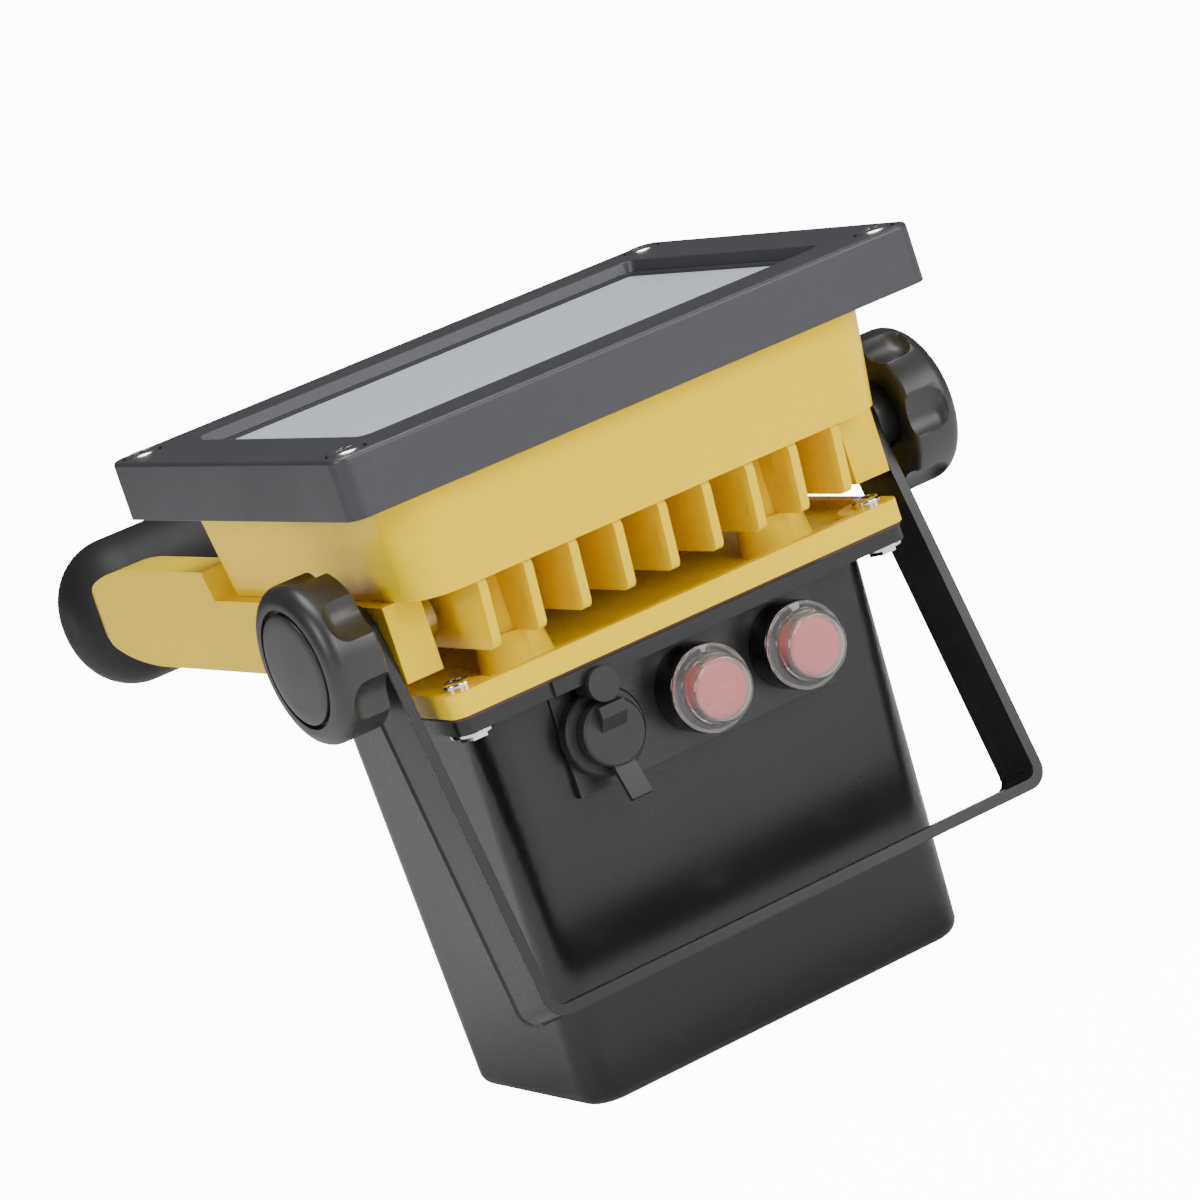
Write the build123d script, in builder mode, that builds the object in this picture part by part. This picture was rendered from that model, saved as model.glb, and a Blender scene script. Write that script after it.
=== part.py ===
from build123d import *
import math
import os

os.makedirs("parts", exist_ok=True)

# Rechargeable LED work light. Millimetres, +Z up, glass side up, standing on its battery box.
# -Y is the button side, +Y the handle side, X runs along the frame.
total_h = 193.0

# front frame
frame_x, frame_y, frame_h = 180.0, 140.0, 16.4
frame_r = 5.0
frame_z0 = total_h - frame_h
open_x, open_y = 144.4, 103.8
pocket_x, pocket_y = 174.4, 134.4
lip_z = 189.9
frame_screw_x, frame_screw_y = 82.6, 62.1

# lens stack
glass_x, glass_y, glass_t = 150.0, 110.0, 4.0
top_seal_t, low_seal_t = 0.8, 1.5
glass_z1 = lip_z - top_seal_t
glass_z0 = glass_z1 - glass_t
flange_top_z = glass_z0 - low_seal_t

# heat sink housing
tub_z0, tub_z1 = 148.5, 177.4
tub_top_hx, tub_top_hy = 76.0, 61.5
tub_low_hx, tub_low_hy = 73.5, 58.4
tub_r_front, tub_r_back = 12.0, 6.0
fin_count, fin_pitch, fin_t = 9, 14.0, 2.6
fin_z0 = 129.3
post_x, post_y = 42.0, 33.0

# mounting plate and battery flange
plate_hx, plate_hy = 72.2, 51.0
plate_z0, plate_z1 = 115.8, 122.2
tray_depth = 2.8
seal_t = 0.8
case_flange_z0, case_flange_z1 = 110.9, 115.0
case_flange_hx, case_flange_hy = 71.6, 50.2
bolt_x, bolt_y = 65.8, 44.0

# battery case
case_top_hx, case_low_hx = 63.5, 62.0
case_top_y0, case_top_y1 = -41.5, 43.0
case_low_y0, case_low_y1 = -34.5, 38.0
case_r, case_wall = 10.0, 3.0

# control panel
panel_hx = 41.5
panel_z0, panel_z1 = 81.2, 110.7
panel_y = -42.0
control_z = 96.0
control_pitch = 30.5

# bracket and knobs
pivot_y, pivot_z = -27.4, 139.9
bracket_angle = 15.5
bracket_out_hx, bracket_t, bracket_w = 81.0, 3.1, 19.0
bracket_len = 109.2
stud_r = 4.0
knob_r = 22.0
knob_x0, knob_x1 = 81.4, 100.0

# handle
arm_x0, arm_x1 = 66.4, 77.4
arm_z0, arm_z1 = 127.6, 156.6
arm_front_y = -41.0
corner_y, corner_r = 137.8, 30.0
grip_y, grip_z, grip_r, grip_hx = 168.0, 136.5, 22.0, 77.2
grip_end_r = 18.0
tube_r, tube_hx = 8.0, 70.0
eye_x, eye_r = 65.0, 12.0


def corners(x, y):
    return [(x, y), (-x, y), (x, -y), (-x, -y)]


def rounded_plan(z, hx, y0, y1, r_front, r_back):
    # plan outline at height z, with its own corner radius at the front and at the back
    with BuildSketch(Plane.XY.offset(z)) as plan:
        with Locations((0, (y0 + y1) / 2)):
            Rectangle(2 * hx, y1 - y0)
        fillet(plan.vertices().group_by(Axis.Y)[0], r_front)
        fillet(plan.vertices().group_by(Axis.Y)[-1], r_back)
    return plan.sketch


def pan_screws(points, z, head_r, head_h, shank_r, shank_len):
    # cross-recess pan-head screws, heads up, with the underside of each head at height z
    with BuildPart() as screws:
        with Locations(*[(x, y, z) for x, y in points]):
            Cylinder(head_r, head_h, align=(Align.CENTER, Align.CENTER, Align.MIN))
            Cylinder(shank_r, shank_len, align=(Align.CENTER, Align.CENTER, Align.MAX))
        fillet(screws.edges().filter_by(GeomType.CIRCLE).group_by(Axis.Z)[-1], head_h * 0.5)
        with Locations(*[(x, y, z + head_h) for x, y in points]):
            Box(head_r * 1.0, 1.1, 2.4, mode=Mode.SUBTRACT)
            Box(1.1, head_r * 1.0, 2.4, mode=Mode.SUBTRACT)
    return screws.part


def turned(profile, axis):
    # solid of revolution from a closed outline of (position along X, radius) pairs
    with BuildPart() as body:
        with BuildSketch(Plane.XY):
            with BuildLine():
                Polyline(*profile, close=True)
            make_face()
        revolve(axis=Axis.X)
    return body.part.moved(axis)


def along_y(x, z):
    # frame whose X axis runs towards the front, out of the panel, at panel position x, z
    return Location(Plane(origin=(x, 0, z), x_dir=(0, -1, 0), z_dir=(0, 0, 1)))


# ---------------------------------------------------------------- lamp head
with BuildPart() as front_frame:
    with BuildSketch(Plane.XY.offset(frame_z0)):
        RectangleRounded(frame_x, frame_y, frame_r)
    extrude(amount=frame_h)
    fillet(front_frame.edges().group_by(Axis.Z)[-1], 1.2)
    with BuildSketch(Plane.XY.offset(total_h)):
        RectangleRounded(open_x, open_y, 4.0)
    with BuildSketch(Plane.XY.offset(lip_z)):
        RectangleRounded(open_x - 2.4, open_y - 2.4, 3.0)
    loft(mode=Mode.SUBTRACT)
    with BuildSketch(Plane.XY.offset(frame_z0)):
        RectangleRounded(pocket_x, pocket_y, 3.0)
    extrude(amount=lip_z - frame_z0, mode=Mode.SUBTRACT)
    with Locations(*[(x, y, flange_top_z) for x, y in corners(frame_screw_x, frame_screw_y)]):
        Cylinder(4.4, lip_z - flange_top_z, align=(Align.CENTER, Align.CENTER, Align.MIN))
    with Locations(*[(x, y, total_h) for x, y in corners(frame_screw_x, frame_screw_y)]):
        Cylinder(2.75, 20, align=(Align.CENTER, Align.CENTER, Align.MAX), mode=Mode.SUBTRACT)
        Cylinder(5.6, 2.3, align=(Align.CENTER, Align.CENTER, Align.MAX), mode=Mode.SUBTRACT)
front_frame.part.label = "front_frame"
export_step(front_frame.part, "parts/front_frame.step")

frame_screws = pan_screws(corners(frame_screw_x, frame_screw_y), total_h - 2.3, 5.0, 2.9, 2.45, 12.5)
frame_screws.label = "frame_screws"
export_step(frame_screws, "parts/frame_screws.step")

with BuildPart() as lens_glass:
    with BuildSketch(Plane.XY.offset(glass_z0)):
        RectangleRounded(glass_x, glass_y, 3.0)
    extrude(amount=glass_t)
lens_glass.part.label = "lens_glass"
export_step(lens_glass.part, "parts/lens_glass.step")

with BuildPart() as lens_gasket:
    with BuildSketch(Plane.XY.offset(glass_z1)):
        RectangleRounded(glass_x, glass_y, 3.0)
        RectangleRounded(open_x - 6.4, open_y - 6.4, 2.0, mode=Mode.SUBTRACT)
    extrude(amount=top_seal_t)
lens_gasket.part.label = "lens_gasket"
export_step(lens_gasket.part, "parts/lens_gasket.step")

with BuildPart() as lens_seal:
    with BuildSketch(Plane.XY.offset(flange_top_z)):
        RectangleRounded(glass_x, glass_y, 3.0)
        RectangleRounded(143.0, 103.0, 3.0, mode=Mode.SUBTRACT)
    extrude(amount=low_seal_t)
lens_seal.part.label = "lens_seal"
export_step(lens_seal.part, "parts/lens_seal.step")

with BuildPart() as heat_sink:
    add(rounded_plan(tub_z0, tub_low_hx, -tub_low_hy, tub_low_hy, tub_r_front, tub_r_back))
    add(rounded_plan(tub_z1, tub_top_hx, -tub_top_hy, tub_top_hy, tub_r_front, tub_r_back))
    loft()
    with BuildSketch(Plane.XY.offset(tub_z1)):
        RectangleRounded(pocket_x - 0.8, pocket_y - 0.8, 3.0)
    extrude(amount=flange_top_z - tub_z1)
    with BuildSketch(Plane.XY.offset(tub_z0 + 4.0)):
        RectangleRounded(132.0, 100.0, 6.0)
    with BuildSketch(Plane.XY.offset(flange_top_z)):
        RectangleRounded(141.0, 101.0, 6.0)
    loft(mode=Mode.SUBTRACT)
    for i in range(fin_count):
        with BuildSketch(Plane.YZ.offset((i - (fin_count - 1) / 2) * fin_pitch)) as fin:
            with BuildLine():
                Polyline((-57.4, tub_z0 + 1), (-54.0, fin_z0), (54.0, fin_z0), (57.4, tub_z0 + 1), close=True)
            make_face()
            fillet(fin.vertices().group_by(Axis.Z)[0], 3.0)
        extrude(amount=fin_t / 2, both=True)
    with Locations((0, 52.0, plate_z1 + 0.8)):
        Box(2 * 66.0, 2.6, tub_z0 - plate_z1, align=(Align.CENTER, Align.CENTER, Align.MIN))
    with Locations(*[(x, y, fin_z0) for x, y in corners(post_x, post_y)]):
        Cylinder(6.5, tub_z0 - fin_z0 + 1, align=(Align.CENTER, Align.CENTER, Align.MIN))
        Cylinder(2.0, 14, align=(Align.CENTER, Align.CENTER, Align.MIN), mode=Mode.SUBTRACT)
    with Locations(*[(x, y, flange_top_z) for x, y in corners(frame_screw_x, frame_screw_y)]):
        Cylinder(2.5, 10, align=(Align.CENTER, Align.CENTER, Align.MAX), mode=Mode.SUBTRACT)
    with Locations(*[(sx * 69.6, y, tub_z0) for sx in (-1, 1) for y in (5.0, 48.0)]):
        Cylinder(2.0, 12, align=(Align.CENTER, Align.CENTER, Align.MIN), mode=Mode.SUBTRACT)
    with Locations((7.0, 20.0, tub_z0)):
        Cylinder(4.1, 12, align=(Align.CENTER, Align.CENTER, Align.CENTER), mode=Mode.SUBTRACT)
heat_sink.part.label = "heat_sink"
export_step(heat_sink.part, "parts/heat_sink.step")

board_z = tub_z0 + 4.0
with BuildPart() as led_board:
    with Locations((0, 0, board_z)):
        Box(124.0, 96.0, 1.6, align=(Align.CENTER, Align.CENTER, Align.MIN))
    with Locations((7.0, 20.0, board_z)):
        Cylinder(4.1, 4, mode=Mode.SUBTRACT)
led_board.part.label = "led_board"
export_step(led_board.part, "parts/led_board.step")

with BuildPart() as led_chips:
    with Locations((0, 0, board_z + 1.6)):
        with GridLocations(20.0, 20.0, 6, 4):
            Box(3.5, 3.5, 1.0, align=(Align.CENTER, Align.CENTER, Align.MIN))
led_chips.part.label = "led_chips"
export_step(led_chips.part, "parts/led_chips.step")

with BuildPart() as reflector:
    with BuildSketch(Plane.XY.offset(board_z + 1.6)):
        RectangleRounded(122.0, 86.0, 5.0)
    with BuildSketch(Plane.XY.offset(flange_top_z)):
        RectangleRounded(139.6, 99.6, 6.0)
    loft()
    with BuildSketch(Plane.XY.offset(board_z + 1.6)):
        RectangleRounded(120.0, 84.0, 4.0)
    with BuildSketch(Plane.XY.offset(flange_top_z)):
        RectangleRounded(137.6, 97.6, 5.0)
    loft(mode=Mode.SUBTRACT)
reflector.part.label = "reflector"
export_step(reflector.part, "parts/reflector.step")

# ---------------------------------------------------------------- mounting plate
with BuildPart() as mount_plate:
    with BuildSketch(Plane.XY.offset(plate_z0)):
        RectangleRounded(2 * plate_hx, 2 * plate_hy, 4.0)
    extrude(amount=plate_z1 - plate_z0)
    with BuildSketch(Plane.XY.offset(plate_z1 - tray_depth)):
        RectangleRounded(2 * plate_hx - 7.0, 2 * plate_hy - 7.0, 3.0)
        with Locations(*corners(bolt_x, bolt_y)):
            Circle(8.5, mode=Mode.SUBTRACT)
    extrude(amount=tray_depth, mode=Mode.SUBTRACT)
    with Locations(*[(x, y, plate_z1 - tray_depth) for x, y in corners(post_x, post_y)]):
        Cone(10.4, 8.8, fin_z0 - plate_z1 + tray_depth, align=(Align.CENTER, Align.CENTER, Align.MIN))
    with Locations(*[(x, y, plate_z0) for x, y in corners(post_x, post_y)]):
        Cylinder(2.2, 20, align=(Align.CENTER, Align.CENTER, Align.MIN), mode=Mode.SUBTRACT)
        Cylinder(4.3, 3.2, align=(Align.CENTER, Align.CENTER, Align.MIN), mode=Mode.SUBTRACT)
    with Locations(*[(x, y, plate_z0) for x, y in corners(bolt_x, bolt_y)]):
        Cylinder(2.3, 20, mode=Mode.SUBTRACT)
    with Locations((7.0, 20.0, plate_z0)):
        Cylinder(4.1, 20, mode=Mode.SUBTRACT)
mount_plate.part.label = "mount_plate"
export_step(mount_plate.part, "parts/mount_plate.step")

with BuildPart() as plate_screws:
    with Locations(*[(x, y, plate_z0 + 0.1) for x, y in corners(post_x, post_y)]):
        Cylinder(4.1, 3.0, align=(Align.CENTER, Align.CENTER, Align.MIN))
        Cylinder(1.95, 24, align=(Align.CENTER, Align.CENTER, Align.MIN))
        Cylinder(1.6, 3.0, mode=Mode.SUBTRACT)
plate_screws.part.label = "plate_screws"
export_step(plate_screws.part, "parts/plate_screws.step")

with BuildPart() as flange_gasket:
    with BuildSketch(Plane.XY.offset(case_flange_z1)):
        RectangleRounded(2 * plate_hx - 0.8, 2 * plate_hy - 0.8, 4.0)
        Rectangle(112.0, 78.0, mode=Mode.SUBTRACT)
        with Locations(*corners(bolt_x, bolt_y)):
            Circle(2.3, mode=Mode.SUBTRACT)
    extrude(amount=seal_t)
flange_gasket.part.label = "flange_gasket"
export_step(flange_gasket.part, "parts/flange_gasket.step")

corner_bolts = pan_screws(corners(bolt_x, bolt_y), plate_z1, 4.0, 2.0, 2.0, plate_z1 - case_flange_z0 + 2.0)
corner_bolts.label = "corner_bolts"
export_step(corner_bolts, "parts/corner_bolts.step")

with BuildPart() as corner_washers:
    with Locations(*[(x, y, case_flange_z0 - 1.0) for x, y in corners(bolt_x, bolt_y)]):
        Cylinder(6.0, 1.0, align=(Align.CENTER, Align.CENTER, Align.MIN))
        Cylinder(2.15, 5, mode=Mode.SUBTRACT)
corner_washers.part.label = "corner_washers"
export_step(corner_washers.part, "parts/corner_washers.step")

with BuildPart() as corner_nuts:
    with BuildSketch(Plane.XY.offset(case_flange_z0 - 2.4)):
        with Locations(*corners(bolt_x, bolt_y)):
            RegularPolygon(4.2, 6)
            Circle(2.05, mode=Mode.SUBTRACT)
    extrude(amount=1.4)
corner_nuts.part.label = "corner_nuts"
export_step(corner_nuts.part, "parts/corner_nuts.step")

with BuildPart() as wire_tube:
    with BuildSketch(Plane.XY.offset(104.0)):
        with Locations((7.0, 20.0)):
            Circle(4.0)
            Circle(2.8, mode=Mode.SUBTRACT)
    extrude(amount=board_z - 104.0)
wire_tube.part.label = "wire_tube"
export_step(wire_tube.part, "parts/wire_tube.step")

# ---------------------------------------------------------------- battery box
with BuildPart() as battery_case:
    add(rounded_plan(0, case_low_hx, case_low_y0, case_low_y1, case_r, case_r))
    add(rounded_plan(case_flange_z0, case_top_hx, case_top_y0, case_top_y1, case_r, case_r))
    loft()
    fillet(battery_case.edges().group_by(Axis.Z)[0], 4.5)
    with BuildSketch(Plane.XY.offset(case_flange_z0)):
        RectangleRounded(2 * case_flange_hx, 2 * case_flange_hy, 4.0)
    extrude(amount=case_flange_z1 - case_flange_z0)
    with Locations((0, -case_flange_hy, case_flange_z0)):
        Box(87.0, 2.0, case_flange_z1 - case_flange_z0, align=(Align.CENTER, Align.CENTER, Align.MIN))
    add(rounded_plan(case_wall, case_low_hx - case_wall, case_low_y0 + case_wall, case_low_y1 - case_wall, 7, 7))
    add(rounded_plan(case_flange_z1, case_top_hx - case_wall, case_top_y0 + case_wall,
                     case_top_y1 - case_wall, 7, 7))
    loft(mode=Mode.SUBTRACT)
    with Locations((0, -39.0, panel_z0 - 0.1)):
        Box(2 * panel_hx + 0.2, 10, panel_z1 - panel_z0 + 0.2,
            align=(Align.CENTER, Align.MAX, Align.MIN), mode=Mode.SUBTRACT)
    with Locations((0, -34.0, panel_z0 + 2.0)):
        Box(2 * panel_hx - 3.0, 10, panel_z1 - panel_z0 - 4.0,
            align=(Align.CENTER, Align.CENTER, Align.MIN), mode=Mode.SUBTRACT)
    with Locations(*[(x, y, case_flange_z0) for x, y in corners(bolt_x, bolt_y)]):
        Cylinder(2.3, 20, mode=Mode.SUBTRACT)
battery_case.part.label = "battery_case"
export_step(battery_case.part, "parts/battery_case.step")

with BuildPart() as control_panel:
    with Locations((0, -39.0, panel_z0)):
        Box(2 * panel_hx, 3.0, panel_z1 - panel_z0, align=(Align.CENTER, Align.MAX, Align.MIN))
    with Locations((0, -39.0, panel_z0 + 2.2)):
        Box(2 * panel_hx - 9.0, 3.0, panel_z1 - panel_z0 - 4.4, align=(Align.CENTER, Align.MIN, Align.MIN))
    with BuildSketch(Plane.XZ.offset(30.0)):
        with Locations((0, control_z), (control_pitch, control_z)):
            Circle(9.3)
        with Locations((-control_pitch, control_z)):
            Circle(6.1)
    extrude(amount=20.0, mode=Mode.SUBTRACT)
control_panel.part.label = "control_panel"
export_step(control_panel.part, "parts/control_panel.step")

cell_r, cell_len, cell_pitch = 9.2, 65.0, 20.2
cell_y = 2.0
for name, z0, z1, bottom in (("cell_tray", 3.1, 9.1, 2.0), ("cell_clamp", 64.0, 70.0, 0.0)):
    with BuildPart() as holder:
        with Locations((0, cell_y, z0)):
            Box(64.0, 44.0, z1 - z0, align=(Align.CENTER, Align.CENTER, Align.MIN))
        with Locations((0, cell_y, z0 + bottom)):
            with GridLocations(cell_pitch, cell_pitch, 3, 2):
                Cylinder(cell_r + 0.1, 20, align=(Align.CENTER, Align.CENTER, Align.MIN), mode=Mode.SUBTRACT)
    holder.part.label = name
    export_step(holder.part, f"parts/{name}.step")

with BuildPart() as battery_cells:
    with Locations((0, cell_y, 5.1)):
        with GridLocations(cell_pitch, cell_pitch, 3, 2):
            Cylinder(cell_r, cell_len, align=(Align.CENTER, Align.CENTER, Align.MIN))
battery_cells.part.label = "battery_cells"
export_step(battery_cells.part, "parts/battery_cells.step")

with BuildPart() as charge_board:
    with Locations((0, 4.0, 78.0)):
        Box(90.0, 52.0, 1.6, align=(Align.CENTER, Align.CENTER, Align.MIN))
    with Locations((0, cell_y, 70.0)):
        with GridLocations(58.0, 38.0, 2, 2):
            Cylinder(2.5, 8.0, align=(Align.CENTER, Align.CENTER, Align.MIN))
charge_board.part.label = "charge_board"
export_step(charge_board.part, "parts/charge_board.step")

with BuildPart() as board_parts:
    with Locations((-28, 12, 79.6), (-14, 12, 79.6)):
        Cylinder(5.0, 12.0, align=(Align.CENTER, Align.CENTER, Align.MIN))
    with Locations((8, 6, 79.6)):
        Box(14.0, 14.0, 7.0, align=(Align.CENTER, Align.CENTER, Align.MIN))
    with Locations((30, 12, 79.6)):
        Box(12.0, 20.0, 10.0, align=(Align.CENTER, Align.CENTER, Align.MIN))
board_parts.part.label = "board_parts"
export_step(board_parts.part, "parts/board_parts.step")

# ---------------------------------------------------------------- push buttons
rim_y = 51.0
button_y = 57.0
for side, cx in (("left", 0.0), ("right", control_pitch)):
    at = along_y(cx, control_z)

    housing = turned([(28, 3.3), (28, 9.2), (42, 9.2), (42, 12.0), (rim_y - 0.8, 12.0), (rim_y, 11.2),
                      (rim_y, 8.0), (33, 8.0), (33, 3.3)], at)
    housing.label = f"switch_housing_{side}"
    export_step(housing, f"parts/switch_housing_{side}.step")

    button = turned([(30.5, 0), (30.5, 3.0), (44, 3.0), (44, 7.7), (button_y - 1.0, 7.7), (button_y, 6.7),
                     (button_y, 0)], at)
    button.label = f"button_{side}"
    export_step(button, f"parts/button_{side}.step")

    boot = turned([(rim_y, 8.3), (rim_y, 11.9), (rim_y + 1.0, 11.9), (rim_y + 1.4, 9.6), (57.6, 9.1),
                   (58.4, 8.3), (58.4, 0), (57.6, 0), (57.6, 8.3)], at)
    boot.label = f"button_boot_{side}"
    export_step(boot, f"parts/button_boot_{side}.step")

    nut = turned([(32.6, 9.25), (32.6, 11.6), (36.0, 11.6), (36.0, 9.25)], at)
    nut.label = f"switch_nut_{side}"
    export_step(nut, f"parts/switch_nut_{side}.step")

    block = turned([(17, 0), (17, 8.0), (28, 8.0), (28, 3.4), (26.5, 3.4), (26.5, 0)], at)
    block.label = f"switch_contacts_{side}"
    export_step(block, f"parts/switch_contacts_{side}.step")

    with BuildPart() as coil:
        with BuildLine() as path:
            Helix(pitch=2.4, height=9.6, radius=5.4)
        with BuildSketch(Plane(origin=path.line @ 0, z_dir=path.line % 0)):
            Circle(0.45)
        sweep(is_frenet=True)
    spring = coil.part.moved(Location(Plane(origin=(cx, -33.6, control_z), z_dir=(0, -1, 0))))
    spring.label = f"button_spring_{side}"
    export_step(spring, f"parts/button_spring_{side}.step")

# ---------------------------------------------------------------- charging socket
jack_x = -control_pitch
at = along_y(jack_x, control_z)

charge_socket = turned([(22, 0), (22, 6.0), (45.8, 6.0), (45.8, 2.8), (36, 2.8), (36, 0)], at)
charge_socket.label = "charge_socket"
export_step(charge_socket, "parts/charge_socket.step")

socket_pin = turned([(36, 0), (36, 1.0), (44.0, 1.0), (44.4, 0.6), (44.4, 0)], at)
socket_pin.label = "socket_pin"
export_step(socket_pin, "parts/socket_pin.step")

socket_nut = turned([(32.8, 6.05), (32.8, 9.0), (36.0, 9.0), (36.0, 6.05)], at)
socket_nut.label = "socket_nut"
export_step(socket_nut, "parts/socket_nut.step")

with BuildPart() as cap_retainer:
    add(turned([(42, 6.1), (42, 12.0), (45.8, 12.0), (46.5, 11.3), (46.5, 6.1)], at))
    with Locations((jack_x, -44.0, 107.4)):
        Box(7.6, 8.4, 3.0, align=(Align.CENTER, Align.MAX, Align.MIN))
    with BuildSketch(Plane.XZ.offset(51.5)):
        with Locations((jack_x, 109.4)):
            Circle(4.6)
    extrude(amount=2.0)
cap_retainer.part.label = "cap_retainer"
export_step(cap_retainer.part, "parts/cap_retainer.step")

with BuildPart() as charge_cap:
    add(turned([(45.6, 0), (45.6, 1.5), (46.9, 1.5), (46.9, 9.2), (50.4, 9.2), (51.0, 8.6), (51.0, 0)], at))
    with BuildSketch(Plane.YZ.offset(jack_x)):
        with BuildLine():
            Polyline((-51.0, 97.0), (-54.0, 101.0), (-54.0, 104.2), (-51.8, 104.2), (-50.6, 103.0),
                     (-50.6, 97.0), close=True)
        make_face()
    extrude(amount=3.9, both=True)
    with BuildSketch(Plane.YZ.offset(jack_x)):
        with BuildLine():
            Polyline((-49.0, 89.0), (-50.6, 89.0), (-50.6, 86.4), (-54.4, 78.6), (-53.0, 77.9),
                     (-49.0, 85.9), close=True)
        make_face()
    extrude(amount=3.2, both=True)
charge_cap.part.label = "charge_cap"
export_step(charge_cap.part, "parts/charge_cap.step")

# ---------------------------------------------------------------- handle
def arm_plan(side):
    # plan of one arm: straight bar, then a bend towards the middle of the handle
    x_out, x_in = side * arm_x1, side * arm_x0
    c = (side * (arm_x1 - corner_r), corner_y)
    r_in = corner_r - (arm_x1 - arm_x0)
    d = math.sqrt(0.5)
    with BuildSketch(Plane.XY.offset(arm_z0)) as plan:
        with BuildLine():
            Polyline((x_out, corner_y), (x_out, arm_front_y), (x_in, arm_front_y), (x_in, corner_y))
            ThreePointArc((x_in, corner_y), (c[0] + side * r_in * d, c[1] + r_in * d), (c[0], c[1] + r_in))
            Line((c[0], c[1] + r_in), (c[0], c[1] + corner_r))
            ThreePointArc((c[0], c[1] + corner_r), (c[0] + side * corner_r * d, c[1] + corner_r * d),
                          (x_out, corner_y))
        make_face()
    return plan.sketch


seam_z = 134.8
nose_y, nose_len = 108.0, 43.4
mid_z, half_h = (arm_z0 + arm_z1) / 2, (arm_z1 - arm_z0) / 2

arms = {}
for name, side in (("left", -1), ("right", 1)):
    with BuildPart() as whole:
        add(arm_plan(side))
        extrude(amount=arm_z1 - arm_z0)
        with BuildSketch(Plane.YZ):
            with BuildLine():
                Polyline((nose_y, arm_z0), (arm_front_y - 1, arm_z0), (arm_front_y - 1, tub_z0 - 0.1),
                         (tub_low_hy + 2.2, tub_z0 - 0.1), (tub_low_hy + 5.0, arm_z1), (nose_y, arm_z1))
                EllipticalCenterArc((nose_y, mid_z), nose_len + 0.01, half_h, start_angle=-90, arc_size=180)
            make_face()
        extrude(amount=side * 100, mode=Mode.INTERSECT)
    with BuildPart() as upper_region:
        with BuildSketch(Plane.YZ):
            with BuildLine():
                Polyline((tub_low_hy + 2.2, 200), (tub_low_hy + 2.2, tub_z0 - 0.1), (69.0, 146.6),
                         (102.0, seam_z), (250, seam_z), (250, 200), close=True)
            make_face()
        extrude(amount=side * 100)
    with BuildPart() as bore:
        with Locations((side * 70, pivot_y, pivot_z)):
            Cylinder(stud_r + 0.1, 40, rotation=(0, 90, 0))
        with Locations(*[(side * 69.6, y, arm_z0) for y in (5.0, 48.0)]):
            Cylinder(2.2, 30, align=(Align.CENTER, Align.CENTER, Align.MIN))
        with Locations((side * eye_x, grip_y, grip_z)):
            Cylinder(tube_r, 30, rotation=(0, 90, 0))
    with BuildPart() as eye:
        with Locations((side * eye_x, grip_y, grip_z)):
            Cylinder(eye_r, 10, rotation=(0, 90, 0))
        with Locations((side * eye_x, 151, mid_z)):
            Box(10, 24, 8)
        with Locations((side * (arm_x0 + 1.8), 127, mid_z)):
            Box(3.6, 34, 8)
        with Locations((side * (arm_x0 + 1.8), 124, seam_z)):
            Box(3.6, 22, 8)
    with BuildPart() as handle_arm:
        add(whole.part)
        add(upper_region.part, mode=Mode.SUBTRACT)
        add(eye.part)
        add(bore.part, mode=Mode.SUBTRACT)
    handle_arm.part.label = f"handle_arm_{name}"
    export_step(handle_arm.part, f"parts/handle_arm_{name}.step")
    with BuildPart() as handle_cover:
        add(whole.part)
        add(upper_region.part, mode=Mode.INTERSECT)
        add(eye.part, mode=Mode.SUBTRACT)
        add(bore.part, mode=Mode.SUBTRACT)
    handle_cover.part.label = f"handle_cover_{name}"
    export_step(handle_cover.part, f"parts/handle_cover_{name}.step")
    arms[side] = whole.part + eye.part

with BuildPart() as arm_screws:
    with Locations(*[(sx * 69.6, y, arm_z0 + 8.0) for sx in (-1, 1) for y in (5.0, 48.0)]):
        Cylinder(2.15, 3.0, align=(Align.CENTER, Align.CENTER, Align.MIN))
        Cylinder(1.95, 23.0, align=(Align.CENTER, Align.CENTER, Align.MIN))
arm_screws.part.label = "arm_screws"
export_step(arm_screws.part, "parts/arm_screws.step")

with BuildPart() as handle_tube:
    with BuildSketch(Plane.YZ):
        with Locations((grip_y, grip_z)):
            Circle(tube_r - 0.1)
            Circle(tube_r - 1.6, mode=Mode.SUBTRACT)
    extrude(amount=tube_hx, both=True)
handle_tube.part.label = "handle_tube"
export_step(handle_tube.part, "parts/handle_tube.step")

with BuildPart() as handle_grip:
    with Locations((0, grip_y, grip_z)):
        Cylinder(grip_r, 2 * grip_hx, rotation=(0, 90, 0))
    fillet(handle_grip.edges().filter_by(GeomType.CIRCLE), grip_end_r)
    with Locations((0, grip_y, grip_z)):
        Cylinder(tube_r, 2 * tube_hx, rotation=(0, 90, 0), mode=Mode.SUBTRACT)
    for side in (-1, 1):
        add(arms[side], mode=Mode.SUBTRACT)
handle_grip.part.label = "handle_grip"
export_step(handle_grip.part, "parts/handle_grip.step")

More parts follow.
